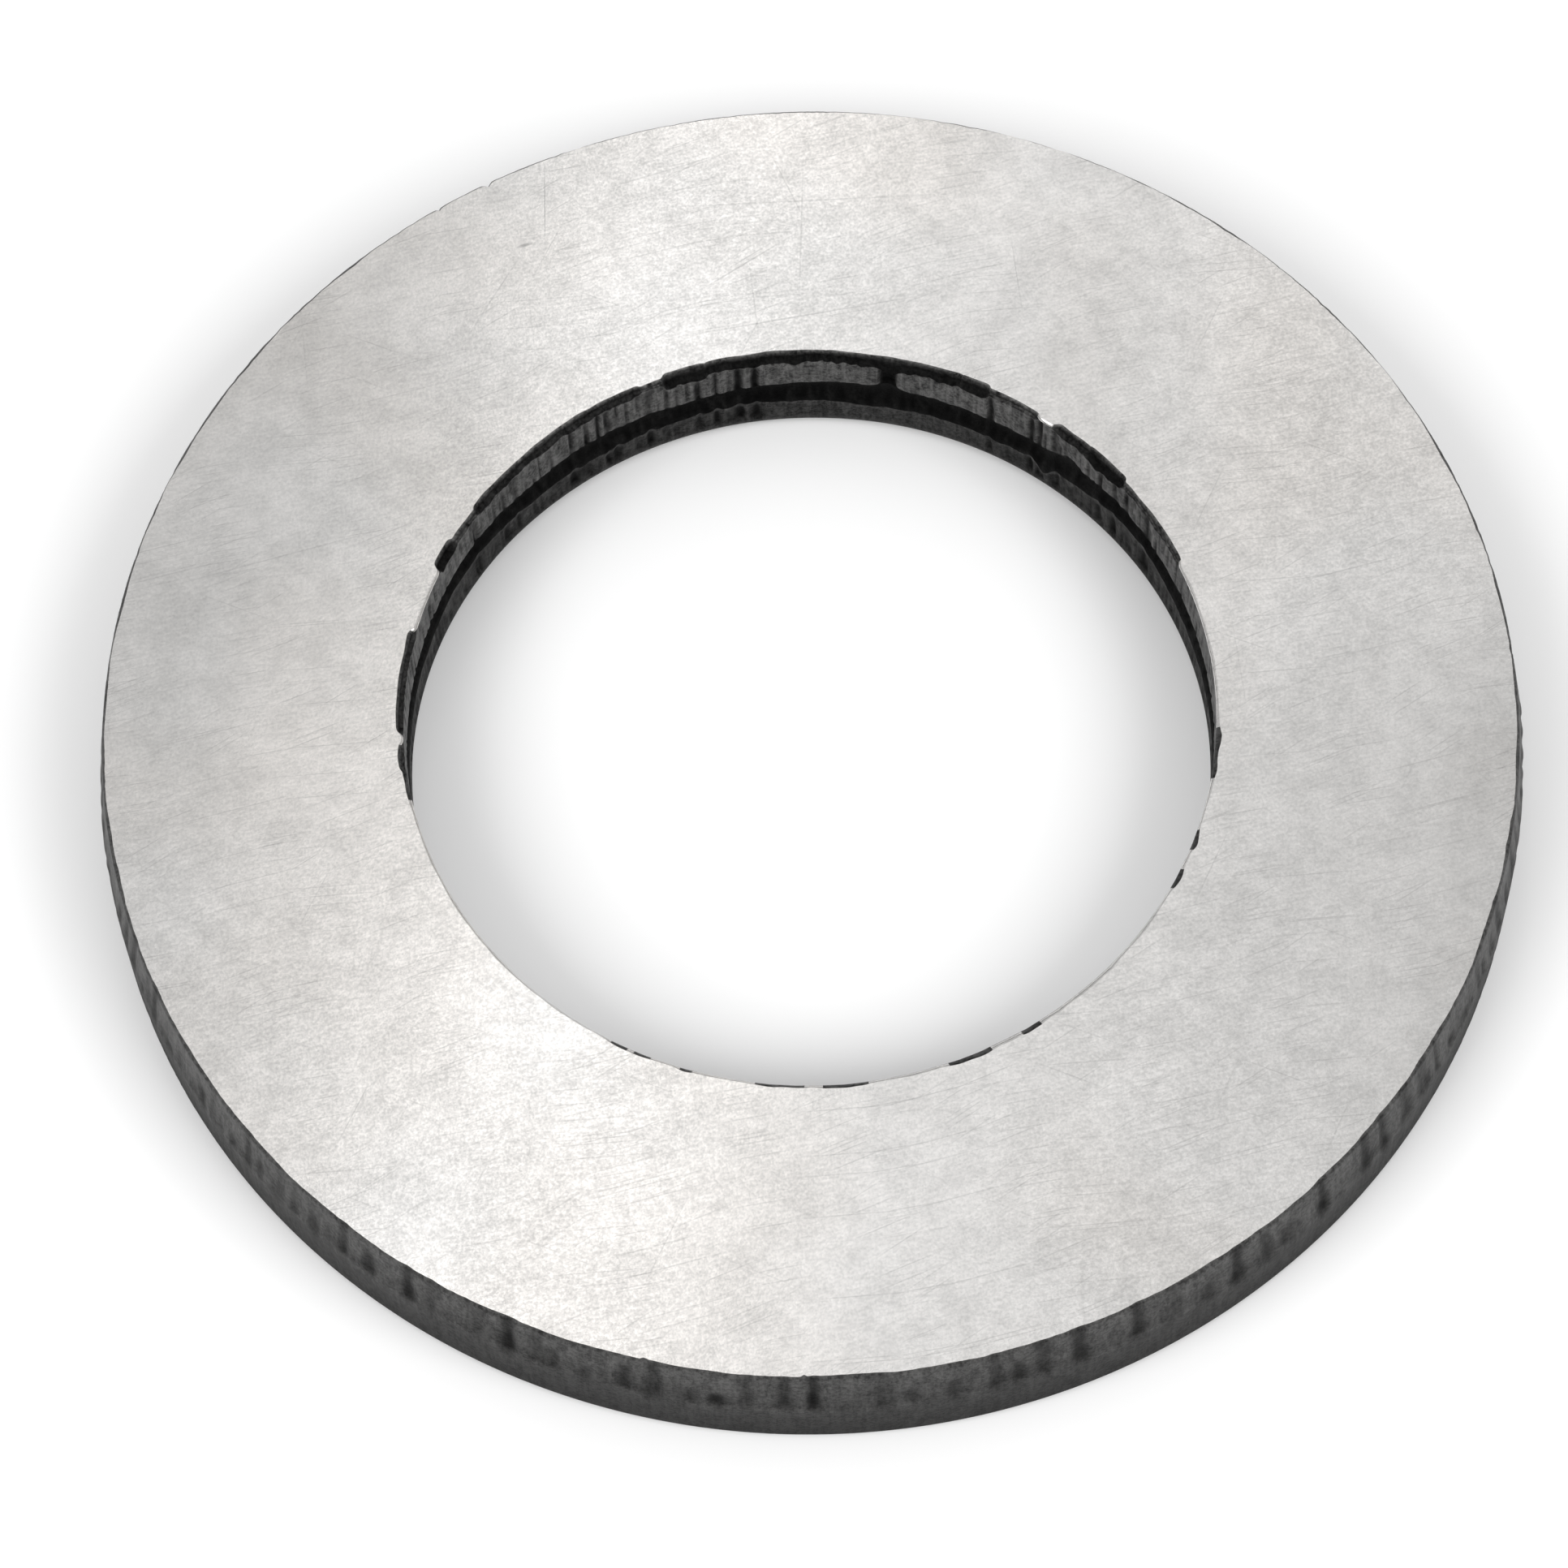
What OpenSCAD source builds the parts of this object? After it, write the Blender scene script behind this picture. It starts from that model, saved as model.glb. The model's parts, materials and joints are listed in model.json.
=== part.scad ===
// Flat washer for a 16 mm bolt, pierced and blanked from steel strip in one stroke of a press.
// It is one solid ring, with no other piece and nothing that moves.
// The origin is the centre of the lower face, and +Z runs up the bolt's axis.
// The tool rolled the lower corners over, and the metal tore out towards the upper face.

/* [Size] */
// Widest diameter of the rim, across its sheared land
outer_d = 30; // [26:0.5:50]
// Clear diameter of the bore, across its sheared lands
bore_d = 17; // [8:0.5:20]
// Thickness from face to face
thickness = 3; // [2.5:0.1:6]

/* [Rim] */
// Radius of the rolled corner at the foot of the rim
rim_roll_r = 0.35; // [0.1:0.05:0.6]
// Share of the thickness at which the rim's smooth land gives way to torn metal
rim_land_top = 0.57; // [0.3:0.01:0.8]
// How far the torn part of the rim leans in on its way to the upper face
rim_lean = 0.2; // [0.05:0.05:0.4]

/* [Bore] */
// Radius of the rolled corner at the foot of the bore
bore_roll_r = 0.5; // [0.1:0.05:0.6]
// Share of the thickness at the top of the bore's lower land
lower_land_top = 0.37; // [0.25:0.01:0.4]
// Share of the thickness at the bottom of the bore's upper land
upper_land_bottom = 0.62; // [0.5:0.01:0.65]
// Share of the thickness at the top of the bore's upper land
upper_land_top = 0.92; // [0.75:0.01:0.94]
// Depth of the torn band between the two lands
tear_depth = 0.12; // [0.05:0.01:0.2]
// How far the bore opens out between its upper land and the upper face
bore_flare = 0.15; // [0.05:0.01:0.3]

/* [Upper edges] */
// Width of the small bevel along both upper edges
edge_bevel = 0.04; // [0.02:0.01:0.1]

/* [Hidden] */
rim_r = outer_d / 2;
bore_r = bore_d / 2;
rim_land_z = rim_land_top * thickness;
rim_top_r = rim_r - rim_lean;
tear_bottom_z = lower_land_top * thickness;
tear_top_z = upper_land_bottom * thickness;
flare_bottom_z = upper_land_top * thickness;
bore_top_r = bore_r + bore_flare;
bevel_z = thickness - edge_bevel;
circle_facets = 96;
ring_facets = 360;

// Upright half section of the ring with square lower corners, as radius and height.
// The torn band starts with a short undercut below the upper land and ramps back out.
ring_outline = [
    [bore_r, 0],
    [rim_r, 0],
    [rim_r, rim_land_z],
    [rim_top_r, bevel_z],
    [rim_top_r - edge_bevel, thickness],
    [bore_top_r + edge_bevel, thickness],
    [bore_top_r, bevel_z],
    [bore_r, flare_bottom_z],
    [bore_r, tear_top_z],
    [bore_r + tear_depth, tear_top_z - tear_depth],
    [bore_r, tear_bottom_z]
];

// What a rolled corner of radius r takes off a square corner at the origin,
// where the metal lies towards +X and +Y
module corner_waste(r) {
    difference() {
        square(r);
        translate([r, r]) circle(r, $fn = circle_facets);
    }
}

module ring_section() {
    difference() {
        polygon(ring_outline);
        translate([bore_r, 0]) corner_waste(bore_roll_r);
        translate([rim_r, 0]) mirror([1, 0]) corner_waste(rim_roll_r);
    }
}

// The whole washer, turned from its half section
module washer() {
    color("silver") rotate_extrude($fn = ring_facets) ring_section();
}

washer();
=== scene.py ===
import json
import math

import bpy
import numpy as np
from mathutils import Matrix, Vector


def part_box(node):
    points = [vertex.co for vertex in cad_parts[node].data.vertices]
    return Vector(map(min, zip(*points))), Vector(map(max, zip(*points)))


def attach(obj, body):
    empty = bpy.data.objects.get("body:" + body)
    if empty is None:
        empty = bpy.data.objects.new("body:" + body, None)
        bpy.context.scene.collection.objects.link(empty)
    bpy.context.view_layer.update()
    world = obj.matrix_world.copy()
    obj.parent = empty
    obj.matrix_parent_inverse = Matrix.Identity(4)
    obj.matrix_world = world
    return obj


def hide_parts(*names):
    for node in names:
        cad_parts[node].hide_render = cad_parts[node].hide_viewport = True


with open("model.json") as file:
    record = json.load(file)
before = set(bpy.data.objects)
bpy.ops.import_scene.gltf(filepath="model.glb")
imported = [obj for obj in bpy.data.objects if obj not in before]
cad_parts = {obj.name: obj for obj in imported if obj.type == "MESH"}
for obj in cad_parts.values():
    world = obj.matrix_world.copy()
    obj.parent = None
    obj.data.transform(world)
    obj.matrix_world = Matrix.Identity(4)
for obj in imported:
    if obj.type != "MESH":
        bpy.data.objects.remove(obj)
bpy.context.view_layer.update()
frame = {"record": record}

# ---------------------------------------------------------------- sizes
# Lengths are in metres and angles in degrees. Angle 0 is +X and 90 is the back, +Y.
MM = 0.001
LOW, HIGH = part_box("washer")
RIM_R = (HIGH.x - LOW.x) / 2
THICKNESS = HIGH.z - LOW.z
BORE = next(m for m in frame["record"]["mounts"] if m["kind"] == "bore")
BORE_R = BORE["dims"]["r_mm"] * MM

# The rim, from its foot up: rolled corner, smooth sheared land, torn metal that leans in
RIM_ROLL_HEIGHT = 0.3 * MM
RIM_ROLL_WIDTH = 0.4 * MM
RIM_LAND_TOP = 0.57 * THICKNESS
RIM_LAND_WAVE = 0.05 * MM
RIM_LEAN = 0.2 * MM
SHAFT_DEPTH = 0.06 * MM
RIM_BEVEL = 0.05 * MM

# The bore, from its foot up: rolled corner, lower land, torn band, upper land, torn pockets
BORE_ROLL_HEIGHT = 0.5 * MM
BORE_ROLL_WIDTH = 0.55 * MM
LOWER_LAND_TOP = 0.37 * THICKNESS
UPPER_LAND_BOTTOM = 0.62 * THICKNESS
TEAR_DEPTH = 0.14 * MM
POCKET_RECESS = 0.15 * MM
POCKET_FULL_HEIGHT = 0.18 * MM
BAR_DEPTH = 0.07 * MM
BORE_BEVEL = 0.05 * MM
THINNEST_LAND = 0.08 * MM

# Both walls: the depth of their fine scores, and how unevenly wide their rolled corners are
SCORE_DEPTH = 0.004 * MM
ROLL_WAVE = 0.06

# The faces: how close to each edge their outermost rows lie
EDGE_MARGIN = 0.012 * MM

# Bareness with painted shade, which sets how light the walls look: 1 on the lightest metal and 0 in the
# deepest tears. Besides the metal's own tone it holds painted shade low in the bore, toward the rim's
# foot and in the hollows
RIM_TORN_BARE = 0.74
# Painted light: the torn part of the rim is made lighter toward its upper edge
RIM_TORN_PAINTED_LIGHT_RISE = 0.24
# Painted shade in the rim's shafts
SHAFT_PAINTED_SHADE = 0.78
# The rim's land: partly its own duller metal, partly painted shade that deepens toward the foot
RIM_LAND_BARE_AND_SHADE_TOP = 0.54
RIM_LAND_BARE_AND_SHADE_FOOT = 0.29
# The bore's rolled corner and lower land: partly duller metal, partly painted shade deep in the bore
BORE_ROLL_BARE_AND_SHADE = 0.4
LOWER_LAND_BARE_AND_SHADE = 0.42
LOWER_BAR_DARKENING = 0.38
LOWER_LAND_BARE_RISE = 0.08
# The torn band: partly dark torn metal, partly painted shade under the upper land's overhang
TEAR_BARE_AND_SHADE = 0.04
UPPER_LAND_BARE = 0.95
UPPER_BAR_DARKENING = 0.92
# The pockets: partly dark torn metal, partly painted shade in their recess, with painted light toward
# their open top
POCKET_DARK_AND_SHADE = 0.85
POCKET_PAINTED_LIGHT_RISE = 0.36

# Torn pockets under the bore's upper edge, as start and end in degrees and height in millimetres
POCKETS = (
    (22, 37.3, 0.08), (37, 44.8, 0.27), (43, 50.4, 0.15), (53.3, 62.5, 0.09), (61.5, 66.5, 0.27),
    (65.5, 86.5, 0.22), (85.5, 103.8, 0.2), (103.3, 110, 0.34), (109, 114.5, 0.06), (113.5, 144.5, 0.15),
    (143.5, 150.5, 0.08), (150, 155, 0.2), (165.5, 181.7, 0.12), (183.3, 187.5, 0.08),
)
# Small chips along the same edge, as middle and length in degrees and width in millimetres
CHIPS = (
    (189.5, 9, 0.045), (243.5, 7, 0.035), (252, 4, 0.045), (264, 8, 0.03),
    (273, 6.5, 0.04), (290.5, 6, 0.05), (299.6, 4, 0.055), (305.3, 2.4, 0.025), (314, 2.2, 0.025),
    (330.7, 2.4, 0.065), (337.6, 3.2, 0.065), (348, 2.4, 0.06), (350.8, 8.4, 0.045), (354, 2.2, 0.06),
)
# The one place where the upper land is torn right through
GAP = (75.8, 78.2)
# How the two lands' inner edges rise and dip, as middle and spread in degrees and height in millimetres
LOWER_LAND_HUMPS = ((34, 14, 0.3), (150, 13, 0.25), (52, 1.4, -0.32))
UPPER_LAND_HUMPS = (
    (34, 13, 0.2), (152, 12, 0.12), (79, 18, 0.07),
    (47.3, 1.8, 0.26), (52.4, 1.2, -0.04), (107, 3, -0.06),
)
# Where both edges of the upper land draw together, beside the gap
PINCH = (77, 1.7, 0.2)
# Upright punch marks in the bore, as angle, width, strength on the upper land and on the lower one
BARS = (
    (31, 0.8, 0.6, 0.7), (35.7, 0.5, 0.6, 0.3), (38.3, 0.4, 0.6, 0.7), (41.4, 0.4, 0.8, 0.7),
    (49.8, 0.5, 0.5, 0.6), (52.9, 0.4, 0.9, 0.6), (54.3, 0.35, 0.9, 0.9), (61.2, 0.35, 0.9, 0.6),
    (96.4, 0.4, 1.0, 1.0), (98.9, 0.5, 1.0, 1.0), (102.3, 0.35, 0.5, 0.9), (104.9, 0.3, 0.8, 0.7),
    (112.6, 0.4, 0.5, 0.9), (118, 0.45, 0.3, 1.0), (119.4, 0.35, 0.6, 0.7), (120.9, 0.3, 0.9, 0.2),
    (122.8, 0.4, 0.7, 0.5), (125.4, 0.5, 0.3, 0.9), (136.4, 0.35, 0.6, 0.6), (139, 0.4, 0.4, 0.4),
    (145.6, 0.45, 0.6, 0.7),
)
# Chance punch marks between those: their spacing and width, in degrees, and their strength
CHANCE_BARS = ((0.5, 1.8), (0.12, 0.4), (0.15, 0.6))
# The stretch of the bore that the punch left nearly free of marks, and how strong they are there
CLEAN_STRETCH = (62, 95)
CLEAN_STRENGTH = 0.2
# How much wider than in BARS the marks run on the lower land and on the upper one
LOWER_MARK_SPREAD = 1.5
UPPER_MARK_SPREAD = 1.2
# Grooved shafts in the torn part of the rim, darkened with painted shade, as angle, strength and length
# in millimetres
SHAFTS = (
    (226.3, 0.4, 0.7), (229.3, 0.65, 1.5), (231.9, 0.75, 0.8), (235.6, 0.85, 1.5), (238, 0.3, 1.5),
    (242, 0.3, 1.5), (244.5, 0.95, 1.5), (247, 0.45, 1.5), (248.3, 0.5, 0.7), (251, 0.65, 0.5),
    (254.1, 0.6, 0.9), (256.4, 0.65, 1.5), (259.2, 0.6, 0.5), (261.3, 0.85, 0.35), (263.6, 0.4, 1.5),
    (266.4, 0.6, 1.5), (268.7, 1.05, 1.6), (274, 0.45, 1.5), (276.3, 0.4, 0.5), (279.4, 0.6, 0.6),
    (282.8, 0.45, 1.5), (284.6, 0.7, 0.7), (286.7, 0.6, 1.5), (289.6, 0.9, 1.5), (294.5, 0.85, 1.4),
    (297.5, 0.35, 1.5), (300.8, 0.5, 0.7), (303.5, 0.9, 1.5), (306.3, 0.65, 1.2), (308.5, 0.5, 0.7),
    (312.3, 0.9, 1.5), (317.3, 0.85, 1.5), (319.6, 0.85, 1.5), (322.8, 0.6, 1.4), (325.3, 0.5, 1.5),
)
SHAFT_WIDTH = (0.4, 0.65)
# Chance shafts: their spacing and width, in degrees, their strength, and their lengths in millimetres
CHANCE_SHAFTS = ((1.0, 2.6), (0.3, 0.6), (0.25, 0.8))
CHANCE_LENGTHS = (0.35, 0.7, 1.5)
# The stretch of the rim that holds the placed shafts, and how strong chance ones are there
SHAFT_STRETCH = (225, 327)
SHAFT_STRETCH_STRENGTH = 0.35
# Where the bore's bevel is worn wider, as middle and spread in degrees and the share it gains
BEVEL_WEAR = (300, 28, 0.7)
# Nicks in the rim's upper edge, as middle and spread in degrees and depth in millimetres
RIM_NICKS = ((117, 0.25, 0.07), (121.8, 0.15, 0.04), (255.6, 0.2, 0.04), (268, 0.15, 0.04))
# Hairline scratches on the faces, as angle, length and width in millimetres, and the share that shows
HAIRLINES = (
    (3, 2.5, 0.03, 0.12), (9, 1.4, 0.03, 0.22), (14, 3.0, 0.03, 0.12), (22, 1.6, 0.03, 0.18),
    (33, 1.3, 0.03, 0.1), (-24, 2.0, 0.03, 0.02), (64, 2.0, 0.03, 0.015), (95, 2.5, 0.03, 0.006),
)
# Long single scratches, as middle x and y, angle, length and width in millimetres, and strength
LONG_SCRATCHES = (
    (-5.45, 12.6, 90, 2.4, 0.05, 0.5), (-6.5, 10.4, 60, 2.8, 0.05, 0.3),
    (0.15, 11.6, 87, 4.2, 0.05, 0.35), (-0.1, 12.8, -68, 2.6, 0.04, 0.4),
    (-1.1, 10.9, 33, 3.0, 0.05, 0.5), (-0.2, 12.45, 1, 9.0, 0.04, 0.35),
    (-2.6, 13.4, 17, 3.8, 0.04, 0.35), (0.2, 9.55, 9, 7.0, 0.04, 0.5),
    (-11.2, 4.0, 15, 6.0, 0.05, 0.35),
)
# The one dent in the upper face, in the same terms
DENT = (-5.9, 11.55, 18, 0.42, 0.12, 1.0)


# ---------------------------------------------------------------- helpers for the relief
SEED = 16
COLUMNS = 1440
ANGLES = np.arange(COLUMNS) * 360 / COLUMNS


def away(middle):
    """Angle of each column from middle, the short way round."""
    return (ANGLES - middle + 180) % 360 - 180


def lump(middle, width):
    """A round hump of height 1 that fades out over width degrees to each side."""
    return np.exp(-(away(middle) / width) ** 2)


def humps(placed):
    """Heights round the ring from humps, each a middle, a spread and a height in millimetres."""
    return sum(height * MM * lump(middle, spread) for middle, spread, height in placed)


def stretch(start, end, blur):
    """1 between two angles and 0 elsewhere, with edges blurred over blur degrees."""
    outside = np.abs(away((start + end) / 2)) - (end - start) / 2
    return 1 / (1 + np.exp(np.clip(outside / blur, -50, 50)))


def ripple(rng, blur):
    """Random values round the ring, with unit spread and nothing finer than blur degrees."""
    spectrum = np.fft.rfft(rng.standard_normal(COLUMNS))
    waves = np.arange(len(spectrum))
    spectrum = spectrum * np.exp(-0.5 * (waves * math.radians(blur)) ** 2)
    spectrum[0] = 0
    values = np.fft.irfft(spectrum, COLUMNS)
    return values / values.std()


def crumble(rng, rows, blur):
    """Random values for rows of columns, blended a little from row to row."""
    values = np.array([ripple(rng, blur) for _ in range(rows + 2)])
    values = (values[:-2] + 2 * values[1:-1] + values[2:]) / 4
    return values / values.std()


def step(value, start, end):
    """0 up to start, 1 from end on, and a smooth rise between."""
    share = np.clip((value - start) / (end - start), 0, 1)
    return share * share * (3 - 2 * share)


def between(start, end, shares):
    """Rows between two curves or plain values, one row for each share of the way."""
    shares = np.asarray(shares)[:, None]
    return start + (end - start) * shares + np.zeros(COLUMNS)


def rolled_corner(rng, degrees, height, width):
    """Rows round a rolled lower corner, as how far they stand in from the wall, and their heights."""
    turn = np.radians(degrees)[:, None]
    width = width * (1 + ROLL_WAVE * ripple(rng, 6))
    inset = width * (1 - np.cos(turn))
    return inset, height * (1 - np.sin(turn)) + np.zeros(COLUMNS)


def marks(rng, gap, width, strength):
    """Random upright marks round the ring, each an angle, a width and a strength."""
    made = []
    angle = rng.uniform(*gap)
    while angle < 360:
        made.append((angle, rng.uniform(*width), rng.uniform(*strength)))
        angle += rng.uniform(*gap)
    return made


def upright(shares, made):
    """Upright marks over rows: each an angle, width, strength, and the shares it starts and ends at."""
    total = np.zeros((len(shares), COLUMNS))
    for angle, width, strength, start, end in made:
        along = step(shares, start - 0.1, start + 0.1) * (1 - step(shares, end - 0.12, end + 0.12))
        total += strength * along[:, None] * np.exp(-np.abs(away(angle) / width) ** 3)
    return np.clip(total, 0, 1)


# ---------------------------------------------------------------- the four sides of the ring
# Each side returns rows of radius, height and bareness with painted shade, running round the section
# from the bore's upper edge, out over the upper face, down the rim, in under the foot and up the bore.
def rim_shafts(rng, z):
    """How deep the rim's torn shafts are at heights z, and how much painted shade darkens them, both
    about 1 in a strong one.
    """
    shafts = [(angle, rng.uniform(*SHAFT_WIDTH), strength, length) for angle, strength, length in SHAFTS]
    for angle, width, strength in marks(rng, *CHANCE_SHAFTS):
        inside = SHAFT_STRETCH[0] < angle < SHAFT_STRETCH[1]
        kept = SHAFT_STRETCH_STRENGTH if inside else 1.0
        shafts.append((angle, width, strength * kept, rng.choice(CHANCE_LENGTHS)))
    grooves = np.zeros_like(z)
    shadows = np.zeros_like(z)
    for angle, width, strength, length in shafts:
        foot = RIM_LAND_TOP + rng.uniform(-0.14, 0.04) * MM
        head = foot + length * MM
        shaft = step(z, foot - 0.08 * MM, foot + 0.16 * MM)
        shaft = shaft * (1 - step(z, head - 0.1 * MM, head + 0.3 * MM))
        # The painted shade is a little deeper near each shaft's foot, where the shaft also widens
        low = np.exp(-((z - foot - 0.3 * MM) / (0.35 * MM)) ** 2)
        across = np.exp(-np.abs(away(angle) / (width * (1 + 0.3 * low))) ** 2.5)
        grooves += strength * shaft * across
        shadows += strength * shaft * across * (0.85 + 0.15 * low)
    return grooves, shadows


def rim_wall(rng):
    """The rim from its upper edge down to its foot."""
    land_top = RIM_LAND_TOP + RIM_LAND_WAVE * ripple(rng, 1.6)
    nicks = humps(RIM_NICKS)
    top = THICKNESS - RIM_BEVEL - 0.5 * nicks
    shares = np.linspace(0, 1, 12)
    z = between(top, land_top, shares)
    up = (1 - shares)[:, None]
    grooves, shadows = rim_shafts(rng, z)
    rough = np.abs(crumble(rng, len(shares), 0.25))
    torn_r = RIM_R - RIM_LEAN * up - SHAFT_DEPTH * np.clip(grooves, 0, 1.2) * (1 - 0.75 * up)
    torn_r -= SCORE_DEPTH * rough * step(up, 0, 0.2) + nicks * step(up, 0.8, 1)
    # Painted light toward the rim's upper edge, and painted shade in the shafts
    torn_bare_and_shade = RIM_TORN_BARE + RIM_TORN_PAINTED_LIGHT_RISE * up
    torn_bare_and_shade = torn_bare_and_shade * (1 - SHAFT_PAINTED_SHADE * np.clip(shadows, 0, 1.1)) - 0.04 * rough

    land_shares = np.linspace(0, 1, 6)[1:]
    land_z = between(land_top, RIM_ROLL_HEIGHT, land_shares)
    land_r = RIM_R - SCORE_DEPTH * np.abs(crumble(rng, len(land_shares), 0.25))
    # Painted shade: the land darkens toward the foot, and the rolled corner keeps the foot's value
    land_bare_and_shade = between(RIM_LAND_BARE_AND_SHADE_TOP, RIM_LAND_BARE_AND_SHADE_FOOT, land_shares)

    inset, roll_z = rolled_corner(rng, np.linspace(0, 90, 8)[1:], RIM_ROLL_HEIGHT, RIM_ROLL_WIDTH)
    roll_bare_and_shade = np.full_like(roll_z, RIM_LAND_BARE_AND_SHADE_FOOT)
    return (
        np.vstack([torn_r, land_r, RIM_R - inset]),
        np.vstack([z, land_z, roll_z]),
        np.vstack([torn_bare_and_shade, land_bare_and_shade, roll_bare_and_shade]),
    )


def bore_marks(rng):
    """The punch marks on the lower and the upper land, ready for upright()."""
    low_marks = [(angle, LOWER_MARK_SPREAD * width, low, -1, 0.8) for angle, width, high, low in BARS]
    up_marks = [(angle, UPPER_MARK_SPREAD * width, high, -1, 0.95) for angle, width, high, low in BARS]
    for angle, width, strength in marks(rng, *CHANCE_BARS):
        kept = CLEAN_STRENGTH if CLEAN_STRETCH[0] < angle < CLEAN_STRETCH[1] else 1.0
        middle, length = rng.uniform(0, 1), rng.uniform(0.3, 1.2)
        up_marks.append((angle, width, kept * strength, middle - length / 2, middle + length / 2))
        low_width, low_strength = LOWER_MARK_SPREAD * width, 0.8 * kept * strength
        low_marks.append((angle + 0.3, low_width, low_strength, -1, rng.uniform(0.4, 1.2)))
    return low_marks, up_marks


def bore_edge_damage(rng):
    """How far the pockets hollow the bore's upper edge, their height, the gap, and the chips' width."""
    hollow = np.zeros(COLUMNS)
    pocket_height = np.zeros(COLUMNS)
    for start, end, height in POCKETS:
        open_here = stretch(start, end, blur=0.2)
        hollow = np.maximum(hollow, open_here * min(1, height * MM / POCKET_FULL_HEIGHT))
        pocket_height = np.maximum(pocket_height, height * MM * open_here)
    pocket_height *= 1 + 0.16 * ripple(rng, 1.0) + 0.14 * ripple(rng, 0.35)
    gap = stretch(*GAP, blur=0.12)
    hollow = np.maximum(hollow, gap)
    chips = np.zeros(COLUMNS)
    for middle, length, width in CHIPS:
        open_here = stretch(middle - length / 2, middle + length / 2, blur=0.45)
        chips = np.maximum(chips, width * MM * open_here)
    chips *= np.clip(0.8 + 0.3 * ripple(rng, 0.8), 0.2, 1.2)
    return hollow, pocket_height, gap, chips


def land_edges(rng):
    """Heights of the lower land's upper edge and of the upper land's lower edge."""
    lower_top = LOWER_LAND_TOP + MM * (0.03 * ripple(rng, 3) + 0.018 * ripple(rng, 0.6))
    lower_top += humps(LOWER_LAND_HUMPS)
    lower_top += humps((angle, LOWER_MARK_SPREAD * width, 0.1 * low) for angle, width, high, low in BARS)
    upper_bottom = UPPER_LAND_BOTTOM + MM * (0.02 * ripple(rng, 4) + 0.012 * ripple(rng, 0.6))
    upper_bottom += humps(UPPER_LAND_HUMPS) + humps([PINCH])
    return lower_top, upper_bottom


def bore_wall(rng):
    """The bore from its foot up to its upper edge, the chips, and which of the edge is worn bright."""
    hollow, pocket_height, gap, chips = bore_edge_damage(rng)
    inset, roll_z = rolled_corner(rng, np.linspace(90, 0, 8), BORE_ROLL_HEIGHT, BORE_ROLL_WIDTH)
    # Painted shade deep in the bore, together with the corner's duller metal
    roll_bare_and_shade = np.full_like(roll_z, BORE_ROLL_BARE_AND_SHADE)

    lower_top, upper_bottom = land_edges(rng)
    top = THICKNESS - BORE_BEVEL - 0.9 * chips
    upper_top = np.maximum(top - pocket_height - humps([PINCH]), upper_bottom + THINNEST_LAND)
    upper_top = np.minimum(upper_top, top - 0.02 * MM)

    low_marks, up_marks = bore_marks(rng)
    low_shares = np.linspace(0, 1, 7)[1:]
    low_z = between(BORE_ROLL_HEIGHT, lower_top, low_shares)
    low_bars = upright(low_shares, low_marks)
    low_scores = crumble(rng, len(low_shares), 0.2)
    low_r = BORE_R + BAR_DEPTH * low_bars + SCORE_DEPTH * np.abs(low_scores)
    # The lower land's bareness holds painted shade deep in the bore as well as its duller metal
    low_bare_and_shade = LOWER_LAND_BARE_AND_SHADE - LOWER_BAR_DARKENING * low_bars + 0.05 * low_scores
    low_bare_and_shade += LOWER_LAND_BARE_RISE * step(low_shares, 0.75, 1)[:, None]

    tear_shares = np.array((0.03, 0.2, 0.4, 0.6, 0.8, 0.96))
    tear_z = between(lower_top, upper_bottom, tear_shares)
    bulge = (step(tear_shares, 0, 0.5) * (1 - step(tear_shares, 0.88, 1.0)))[:, None]
    rough = crumble(rng, len(tear_shares), 0.3)
    tear_r = BORE_R + (TEAR_DEPTH + 0.02 * MM * rough) * bulge
    # Near black: dark torn metal with painted shade under the overhang
    tear_bare_and_shade = TEAR_BARE_AND_SHADE * (1 + rough)

    up_shares = np.array((0.02, 0.15, 0.3, 0.45, 0.6, 0.75, 0.9, 1.0))
    up_z = between(upper_bottom, upper_top, up_shares)
    up_bars = upright(up_shares, up_marks)
    up_scores = crumble(rng, len(up_shares), 0.2)
    up_r = BORE_R + BAR_DEPTH * up_bars + SCORE_DEPTH * np.abs(up_scores) + TEAR_DEPTH * gap
    up_bare = UPPER_LAND_BARE - UPPER_BAR_DARKENING * up_bars + 0.09 * up_scores
    up_bare = up_bare * (1 - 0.98 * gap)

    pocket_shares = np.array((0.04, 0.2, 0.4, 0.6, 0.8, 1.0))
    pocket_z = between(upper_top, top, pocket_shares)
    ledge = step(pocket_shares, 0, 0.3)[:, None]
    rough = crumble(rng, len(pocket_shares), 0.4)
    recess = POCKET_RECESS * (1 + 0.08 * ripple(rng, 4)) + 0.01 * MM * rough * (1 - ledge)
    fading = (1 - hollow) * (1 - step(pocket_shares, 0.3, 0.9))[:, None]
    pocket_r = BORE_R + recess * hollow * ledge + BAR_DEPTH * up_bars[-1] * fading
    # Painted shade in the pockets, made lighter toward their open top
    painted_light_rise = POCKET_PAINTED_LIGHT_RISE * step(pocket_shares, 0.4, 1)[:, None]
    pocket_bare_and_shade = UPPER_LAND_BARE - hollow * (POCKET_DARK_AND_SHADE - painted_light_rise)
    pocket_bare_and_shade *= 1 - 0.5 * up_bars[-1] * fading
    worn = (hollow < 0.3) & (chips < 0.02 * MM)
    return (
        np.vstack([BORE_R + inset, low_r, tear_r, up_r, pocket_r]),
        np.vstack([roll_z, low_z, tear_z, up_z, pocket_z]),
        np.vstack([roll_bare_and_shade, low_bare_and_shade, tear_bare_and_shade, up_bare, pocket_bare_and_shade]),
        chips,
        worn,
    )


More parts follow.
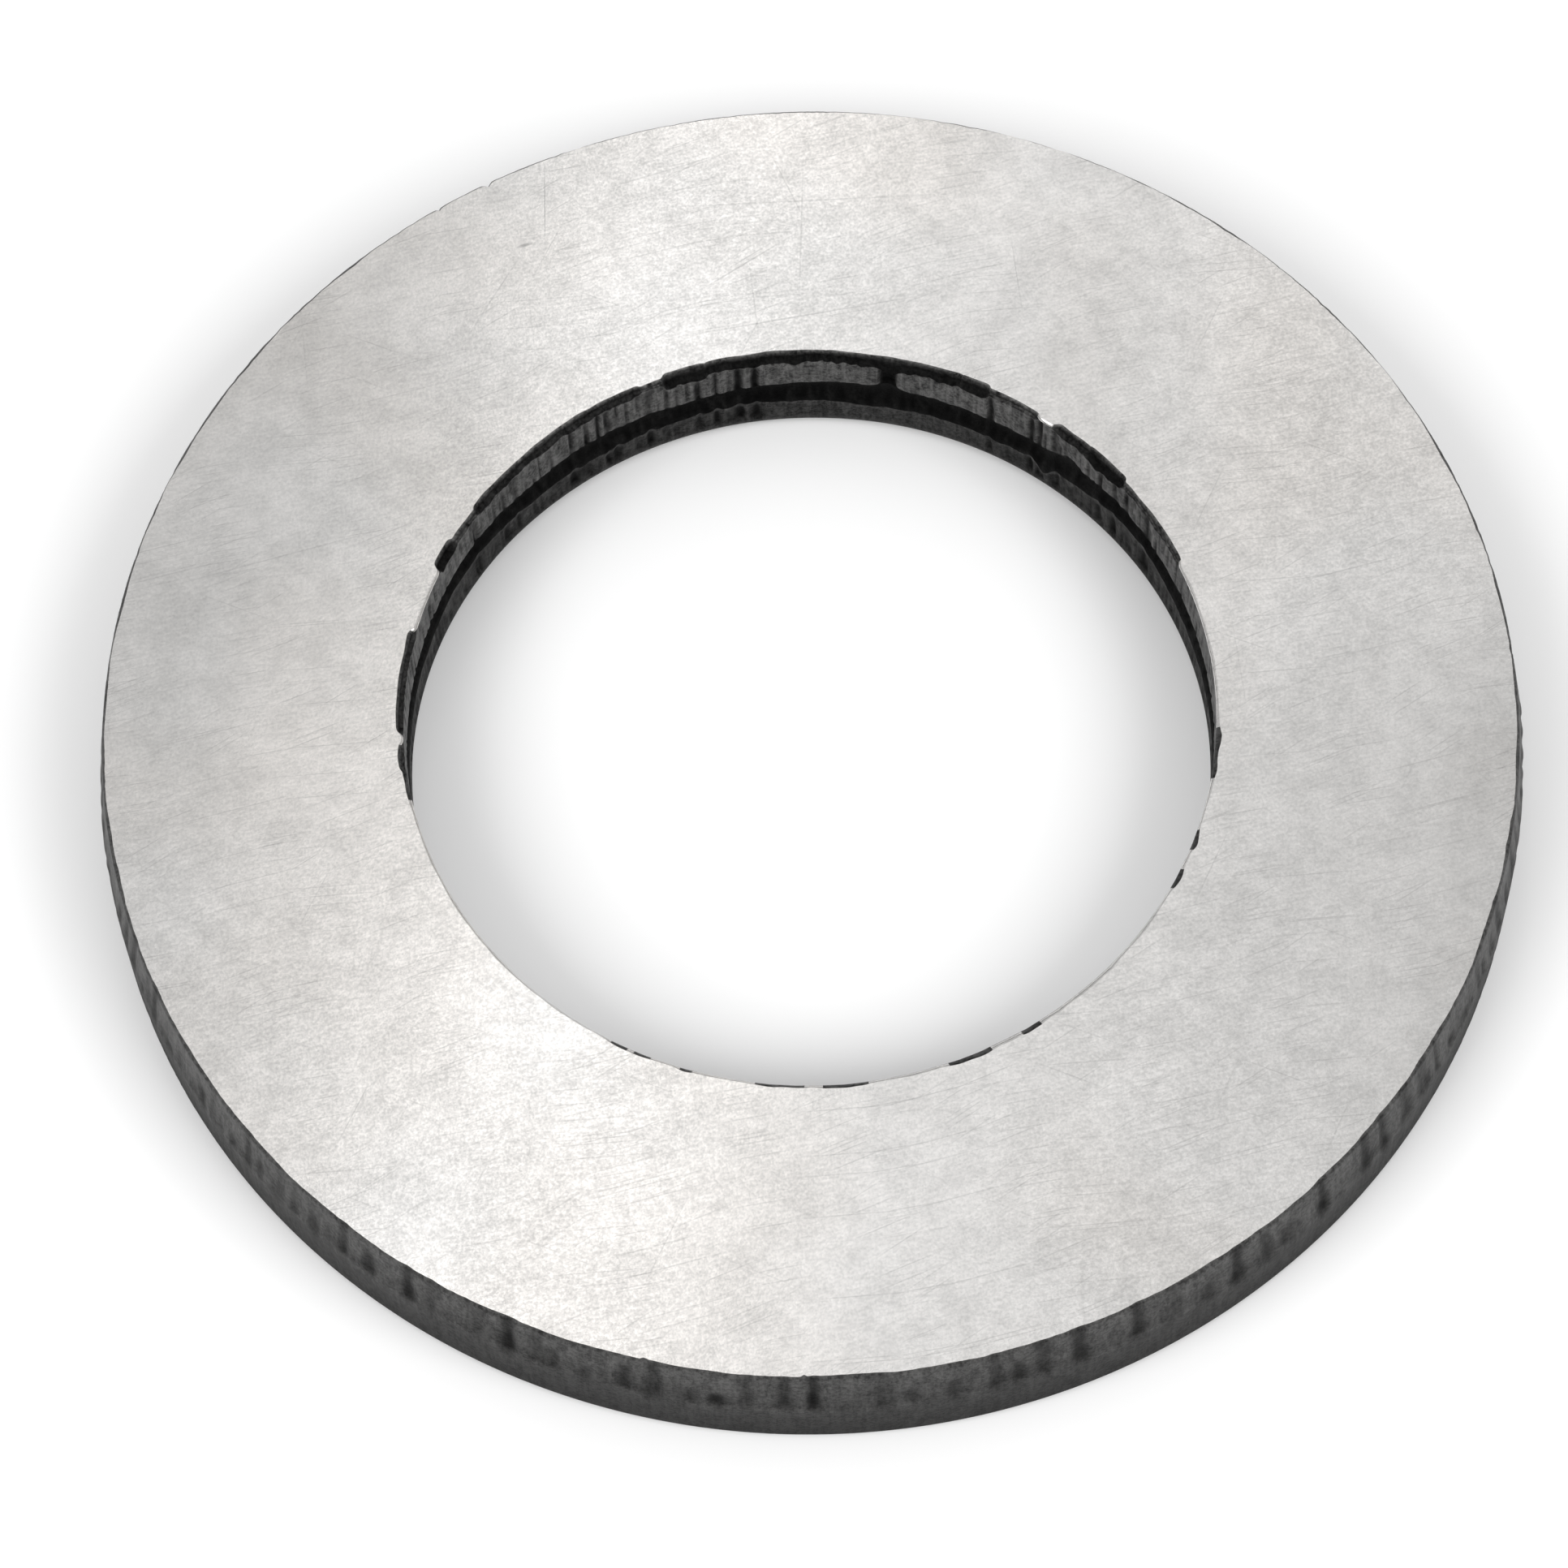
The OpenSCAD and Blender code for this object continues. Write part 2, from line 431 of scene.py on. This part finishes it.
def face_rows(inner, outer, height):
    """Rows over a flat face, with one close beside each of its two edges."""
    middle = between(inner + EDGE_MARGIN, outer - EDGE_MARGIN, np.linspace(0, 1, 4))
    r = np.vstack([inner, middle, outer])
    return r, np.full_like(r, height), np.ones_like(r)


# ---------------------------------------------------------------- the washer's mesh
FACE, RIM, BORE_SIDE = 0, 1, 2


def ring_mesh(name, bands, crisp_row):
    """A closed ring from bands of rows, each with radii, heights, bareness with painted shade, and
    material slots.
    A row's slot holds for the strip between it and the next row. The edge along crisp_row is
    shaded sharp, and all the others smooth."""
    r = np.vstack([band[0] for band in bands])
    z = np.vstack([band[1] for band in bands])
    bare_and_shade = np.vstack([band[2] for band in bands])
    slots = np.vstack([np.broadcast_to(band[3], band[0].shape) for band in bands])
    rows = len(r)
    turn = np.radians(ANGLES)
    points = np.stack([r * np.cos(turn), r * np.sin(turn), z], axis=-1)

    row = np.repeat(np.arange(rows), COLUMNS)
    column = np.tile(np.arange(COLUMNS), rows)
    next_row, next_column = (row + 1) % rows, (column + 1) % COLUMNS
    quads = np.stack([
        row * COLUMNS + column,
        next_row * COLUMNS + column,
        next_row * COLUMNS + next_column,
        row * COLUMNS + next_column,
    ], axis=-1)

    mesh = bpy.data.meshes.new(name)
    mesh.vertices.add(rows * COLUMNS)
    mesh.vertices.foreach_set("co", points.astype(np.float32).ravel())
    mesh.loops.add(quads.size)
    mesh.loops.foreach_set("vertex_index", quads.astype(np.int32).ravel())
    mesh.polygons.add(len(quads))
    mesh.polygons.foreach_set("loop_start", np.arange(len(quads), dtype=np.int32) * 4)
    mesh.polygons.foreach_set("material_index", slots.astype(np.int32).ravel())
    mesh.update(calc_edges=True)
    mesh.validate()
    bareness_and_shade = mesh.attributes.new("bareness_and_shade", "FLOAT", "POINT")
    bareness_and_shade.data.foreach_set("value", np.clip(bare_and_shade, 0, 1).astype(np.float32).ravel())
    mesh.shade_smooth()
    ends = np.empty(2 * len(mesh.edges), dtype=np.int32)
    mesh.edges.foreach_get("vertices", ends)
    crisp = (ends.reshape(-1, 2) // COLUMNS == crisp_row).all(axis=1)
    mesh.attributes.new("sharp_edge", "BOOLEAN", "EDGE").data.foreach_set("value", crisp)
    return mesh


def make_washer():
    """The whole ring: upper face, rim, lower face and bore, as one closed surface."""
    rng = np.random.default_rng(SEED)
    rim = rim_wall(rng)
    *bore, chips, worn = bore_wall(rng)
    bore_slots = np.full(bore[0].shape, BORE_SIDE)
    bore_slots[-1, worn] = FACE
    wear_middle, wear_spread, wear_gain = BEVEL_WEAR
    inner_bevel = 1 + 0.15 * ripple(rng, 1) + wear_gain * lump(wear_middle, wear_spread)
    inner_bevel = BORE_BEVEL * inner_bevel + chips
    outer_bevel = RIM_BEVEL * (1 + 0.2 * ripple(rng, 1))
    upper = face_rows(bore[0][-1] + inner_bevel, rim[0][0] - outer_bevel, THICKNESS)
    # The bevel is darker where the edge is chipped
    upper[2][0] -= np.clip(chips / (0.08 * MM), 0, 0.5)
    rim_edge = tuple(part[-1:] for part in upper)
    upper = tuple(part[:-1] for part in upper)
    lower = face_rows(bore[0][0], rim[0][-1], 0)
    lower = tuple(part[::-1][1:-1] for part in lower)

    bands = [(*upper, FACE), (*rim_edge, RIM), (*rim, RIM), (*lower, FACE), (*bore, bore_slots)]
    mesh = ring_mesh("flat_washer", bands, crisp_row=len(upper[0]))
    washer = bpy.data.objects.new("flat_washer", mesh)
    bpy.context.scene.collection.objects.link(washer)
    washer.data.materials.append(face_steel())
    washer.data.materials.append(wall_steel("rim_steel", RIM_CONTRAST))
    washer.data.materials.append(wall_steel("bore_steel", BORE_CONTRAST))
    return washer


# ---------------------------------------------------------------- materials
class Graph:
    """A material's node tree, with short ways to add and join nodes."""

    def __init__(self, name):
        self.material = bpy.data.materials.new(name)
        self.material.use_nodes = True
        self.tree = self.material.node_tree
        self.shader = self.tree.nodes["Principled BSDF"]
        self.place = self.node("ShaderNodeTexCoord").outputs["Object"]

    def node(self, kind, **settings):
        made = self.tree.nodes.new(kind)
        for key, value in settings.items():
            setattr(made, key, value)
        return made

    def put(self, value, socket):
        """Links an output to a socket, or sets the socket's value."""
        if isinstance(value, bpy.types.NodeSocket):
            self.tree.links.new(value, socket)
        else:
            socket.default_value = value

    def math(self, operation, a, b=0.0, c=0.0):
        made = self.node("ShaderNodeMath", operation=operation)
        for value, socket in zip((a, b, c), made.inputs):
            self.put(value, socket)
        return made.outputs[0]

    def ramp(self, value, start, end, low=0.0, high=1.0):
        """Maps start..end to low..high, held at both ends."""
        made = self.node("ShaderNodeMapRange", clamp=True)
        for item, socket in zip((value, start, end, low, high), made.inputs):
            self.put(item, socket)
        return made.outputs["Result"]

    def mix(self, factor, a, b):
        made = self.node("ShaderNodeMix", data_type="RGBA")
        self.put(factor, made.inputs["Factor"])
        self.put((*a, 1) if isinstance(a, tuple) else a, made.inputs["A"])
        self.put((*b, 1) if isinstance(b, tuple) else b, made.inputs["B"])
        return made.outputs["Result"]

    def along(self, angle, size, middle=(0, 0, 0)):
        """Object coordinates from middle, with X turned to angle, in steps of size metres."""
        made = self.node("ShaderNodeMapping", vector_type="TEXTURE")
        self.put(self.place, made.inputs["Vector"])
        made.inputs["Location"].default_value = middle
        made.inputs["Rotation"].default_value = (0, 0, math.radians(angle))
        made.inputs["Scale"].default_value = size
        return made.outputs["Vector"]

    def noise(self, size, detail=2.0, roughness=0.5, angle=0.0):
        """Noise whose features measure about size metres: one number, or one for each axis."""
        size = size if isinstance(size, tuple) else (size, size, size)
        made = self.node("ShaderNodeTexNoise")
        self.put(self.along(angle, size), made.inputs["Vector"])
        made.inputs["Scale"].default_value = 1.0
        made.inputs["Detail"].default_value = detail
        made.inputs["Roughness"].default_value = roughness
        return made.outputs["Fac"]

    def scratch(self, x, y, angle, length, width):
        """One straight scratch centred on (x, y), 1 along its middle and 0 outside."""
        place = self.along(angle, (length / 2, width / 2, 1), (x, y, 0))
        distance = self.node("ShaderNodeVectorMath", operation="LENGTH")
        self.put(place, distance.inputs[0])
        return self.ramp(distance.outputs["Value"], 0.3, 1, 1, 0)

    def hairlines(self, angle, length, width, share):
        """Straight, isolated scratches at one angle, 1 in the middle of each and 0 outside."""
        cells = self.node("ShaderNodeTexVoronoi", voronoi_dimensions="2D")
        self.put(self.along(angle, (2 * length, 2 * width, 1)), cells.inputs["Vector"])
        cells.inputs["Scale"].default_value = 1.0
        line = self.ramp(cells.outputs["Distance"], 0.1, 0.28, 1, 0)
        lot = self.node("ShaderNodeSeparateColor")
        self.put(cells.outputs["Color"], lot.inputs["Color"])
        return self.math("MULTIPLY", line, self.ramp(lot.outputs["Red"], 1 - share, 1))

    def bump(self, height, distance):
        made = self.node("ShaderNodeBump")
        made.inputs["Strength"].default_value = 1.0
        made.inputs["Distance"].default_value = distance
        self.put(height, made.inputs["Height"])
        self.put(made.outputs["Normal"], self.shader.inputs["Normal"])


# The face's two tints of steel, each from its dark flecks to its light ground
FACE_DARK_WARM, FACE_LIGHT_WARM = (0.475, 0.461, 0.446), (0.815, 0.79, 0.763)
FACE_DARK_COOL, FACE_LIGHT_COOL = (0.468, 0.462, 0.453), (0.805, 0.792, 0.777)
FACE_ROUGHNESS = (0.22, 0.165)
FACE_BUMP = 0.0006 * MM
SCRATCH_COLOUR = (0.22, 0.215, 0.21)
SCRATCH_COVER = 0.6
HAIRLINE_STRENGTH = 0.42
# The walls, from their deepest tears to their lightest metal, and how strongly their texture shows. Both
# colours are dark partly for the sheared edge's own dark grey and partly as painted shade for the dim
# surroundings the walls reflect
WALL_DARK, WALL_LIGHT = (0.004, 0.004, 0.004), (0.16, 0.158, 0.155)
WALL_ROUGHNESS = (0.8, 0.5)
WALL_BUMP = 0.003 * MM
RIM_CONTRAST, BORE_CONTRAST = 0.7, 1.0
# The floor
FLOOR_DARK, FLOOR_LIGHT = (0.86, 0.86, 0.86), (0.9, 0.9, 0.9)


def face_steel():
    """Bare rolled steel strip: satin and finely speckled, with hairlines that run mostly one way."""
    g = Graph("face_steel")
    g.shader.inputs["Metallic"].default_value = 1.0
    clouds = g.ramp(g.noise(4 * MM, detail=3), 0.35, 0.65)
    mottle = g.ramp(g.noise(0.65 * MM, detail=1), 0.35, 0.65)
    flecks = g.ramp(g.noise(0.2 * MM, detail=1), 0.35, 0.65)
    specks = g.ramp(g.noise(0.07 * MM, detail=2, roughness=0.7), 0.36, 0.64)
    grain = g.ramp(g.noise((0.3 * MM, 0.07 * MM, MM), detail=2, angle=13), 0.34, 0.66)
    tone = 0.0
    for layer, weight in ((clouds, 0.22), (mottle, 0.19), (flecks, 0.13), (specks, 0.3), (grain, 0.16)):
        tone = g.math("MULTIPLY_ADD", layer, weight, tone)
    tint = g.ramp(g.noise(7 * MM, detail=1), 0.4, 0.6)
    dark = g.mix(tint, FACE_DARK_WARM, FACE_DARK_COOL)
    light = g.mix(tint, FACE_LIGHT_WARM, FACE_LIGHT_COOL)
    steel = g.mix(tone, dark, light)
    scratches = 0.0
    for angle, length, width, share in HAIRLINES:
        line = g.hairlines(angle, length * MM, width * MM, share)
        scratches = g.math("MULTIPLY_ADD", line, HAIRLINE_STRENGTH, scratches)
    for x, y, angle, length, width, strength in (*LONG_SCRATCHES, DENT):
        line = g.scratch(x * MM, y * MM, angle, length * MM, width * MM)
        scratches = g.math("MULTIPLY_ADD", line, strength, scratches)
    scratches = g.math("MINIMUM", scratches, 1.0)
    steel = g.mix(g.math("MULTIPLY", scratches, SCRATCH_COVER), steel, SCRATCH_COLOUR)
    g.put(steel, g.shader.inputs["Base Color"])
    polish = g.math("MULTIPLY_ADD", specks, 0.7, g.math("MULTIPLY", flecks, 0.3))
    g.put(g.ramp(polish, 0, 1, *FACE_ROUGHNESS), g.shader.inputs["Roughness"])
    g.bump(g.math("MULTIPLY_ADD", scratches, -1.0, g.math("MULTIPLY", specks, 0.5)), FACE_BUMP)
    return g.material


def wall_steel(name, contrast):
    """Sheared and torn metal: dark grey where its bareness is high, and nearly black in the tears, the
    bareness holding painted shade as well as the metal's own tone.
    """
    g = Graph(name)
    g.shader.inputs["Metallic"].default_value = 1.0
    bare_and_shade = g.node("ShaderNodeAttribute", attribute_name="bareness_and_shade").outputs["Fac"]
    scores = g.ramp(g.noise((0.1 * MM, 0.1 * MM, 1.2 * MM), detail=3, roughness=0.7), 0.41, 0.59)
    grit = g.ramp(g.noise(0.08 * MM, detail=3, roughness=0.7), 0.42, 0.58)
    blotches = g.ramp(g.noise(0.28 * MM, detail=2), 0.4, 0.6)
    texture = 0.0
    for layer, weight in ((scores, 0.3), (grit, 0.45), (blotches, 0.25)):
        texture = g.math("MULTIPLY_ADD", layer, weight, texture)
    swing = 0.45 * contrast
    shade = g.ramp(texture, 0, 1, 0.5 - swing, 0.5 + swing)
    shade = g.math("MULTIPLY", shade, bare_and_shade)
    g.put(g.mix(shade, WALL_DARK, WALL_LIGHT), g.shader.inputs["Base Color"])
    g.put(g.ramp(bare_and_shade, 0, 1, *WALL_ROUGHNESS), g.shader.inputs["Roughness"])
    g.bump(g.math("ADD", scores, grit), WALL_BUMP)
    return g.material


def floor_paint():
    """Matt white board."""
    g = Graph("floor_paint")
    g.put(g.mix(g.noise(40 * MM, detail=2), FLOOR_DARK, FLOOR_LIGHT), g.shader.inputs["Base Color"])
    g.shader.inputs["Roughness"].default_value = 0.9
    g.shader.inputs["Specular IOR Level"].default_value = 0.1
    return g.material


# ---------------------------------------------------------------- the studio
FLOOR_HALF = 100 * RIM_R
SKY_RADIANCE = 0.69
# Lamps that face straight down, as x, y and height, size, radiance, and turn about +Z in degrees.
# Lengths are in rim radii. They overlap, so each hangs a little above the one that should hide it.
OVERHEAD_LAMPS = (
    ("strip", -0.65, 6.67, 13, (1.2, 12), 1.25, -9),
    ("front_panel", -0.3, 4.1, 13.1, (3.2, 3), 0.15, 0),
    ("right_panel", 1.4, 6.67, 13.1, (1.6, 12), 0.26, 0),
    ("front_wing", 1, 4.2, 12.9, (1.2, 2.4), 0.3, 0),
    ("left_wing", -2.25, 4.9, 12.9, (1.3, 2), 0.38, 0),
    ("right_wing", 2.5, 8.5, 12.9, (1.4, 3), 0.52, 0),
)
# Lamps in front that face the washer, in the same terms but with no turn
SIDE_LAMPS = (
    ("left_box", -10, -8, 14, (10, 10), 5, None),
    ("right_box", 10, -8, 14, (10, 10), 5, None),
)
# The camera: its lens, its distance from the middle of the upper face, its height as an angle,
# and how far its aim is tilted, panned and rolled away from that middle
CAMERA_LENS = 127.6
CAMERA_DISTANCE = 7.744 * RIM_R
CAMERA_ELEVATION, CAMERA_TILT, CAMERA_PAN, CAMERA_ROLL = 63.2, -0.764, 0.284, -1.793


def make_floor():
    half = FLOOR_HALF
    mesh = bpy.data.meshes.new("floor")
    corners = [(-half, -half, 0), (half, -half, 0), (half, half, 0), (-half, half, 0)]
    mesh.from_pydata(corners, [], [(0, 1, 2, 3)])
    mesh.materials.append(floor_paint())
    floor = bpy.data.objects.new("floor", mesh)
    bpy.context.scene.collection.objects.link(floor)


def make_softbox(name, place, size, radiance, spin):
    """A soft light that faces straight down, turned by spin, or faces the washer if spin is None."""
    data = bpy.data.lights.new(name, "AREA")
    data.shape = "RECTANGLE"
    data.size, data.size_y = size
    data.energy = radiance * math.pi * size[0] * size[1]
    lamp = bpy.data.objects.new(name, data)
    lamp.location = place
    if spin is None:
        lamp.rotation_euler = (-Vector(place)).to_track_quat("-Z", "Y").to_euler()
    else:
        lamp.rotation_euler = (0, 0, math.radians(spin))
    lamp.visible_camera = False
    bpy.context.scene.collection.objects.link(lamp)


def make_lights():
    world = bpy.data.worlds.new("studio")
    world.use_nodes = True
    world.node_tree.nodes["Background"].inputs["Color"].default_value = (1, 1, 1, 1)
    world.node_tree.nodes["Background"].inputs["Strength"].default_value = SKY_RADIANCE
    bpy.context.scene.world = world
    for name, x, y, height, size, radiance, spin in (*OVERHEAD_LAMPS, *SIDE_LAMPS):
        place = (x * RIM_R, y * RIM_R, height * RIM_R)
        make_softbox(name, place, (size[0] * RIM_R, size[1] * RIM_R), radiance, spin)


def make_camera():
    """Looks down on the washer from the front with a long lens."""
    data = bpy.data.cameras.new("camera")
    data.sensor_width = 36
    data.lens = CAMERA_LENS
    data.clip_start = 0.1 * RIM_R
    data.clip_end = 400 * RIM_R
    angles = (CAMERA_ELEVATION, CAMERA_TILT, CAMERA_PAN, CAMERA_ROLL)
    elevation, tilt, pan, roll = (math.radians(angle) for angle in angles)
    camera = bpy.data.objects.new("camera", data)
    aim = Matrix.Rotation(math.pi / 2 - elevation + tilt, 4, "X")
    aim = aim @ Matrix.Rotation(pan, 4, "Y") @ Matrix.Rotation(roll, 4, "Z")
    back, up = CAMERA_DISTANCE * math.cos(elevation), CAMERA_DISTANCE * math.sin(elevation)
    place = Vector((0, -back, up + THICKNESS))
    camera.matrix_world = Matrix.Translation(place) @ aim
    bpy.context.scene.collection.objects.link(camera)
    bpy.context.scene.camera = camera


make_camera()
make_lights()
make_floor()
washer = make_washer()
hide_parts("washer")
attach(washer, "root")
bpy.context.scene.view_settings.view_transform = "Standard"
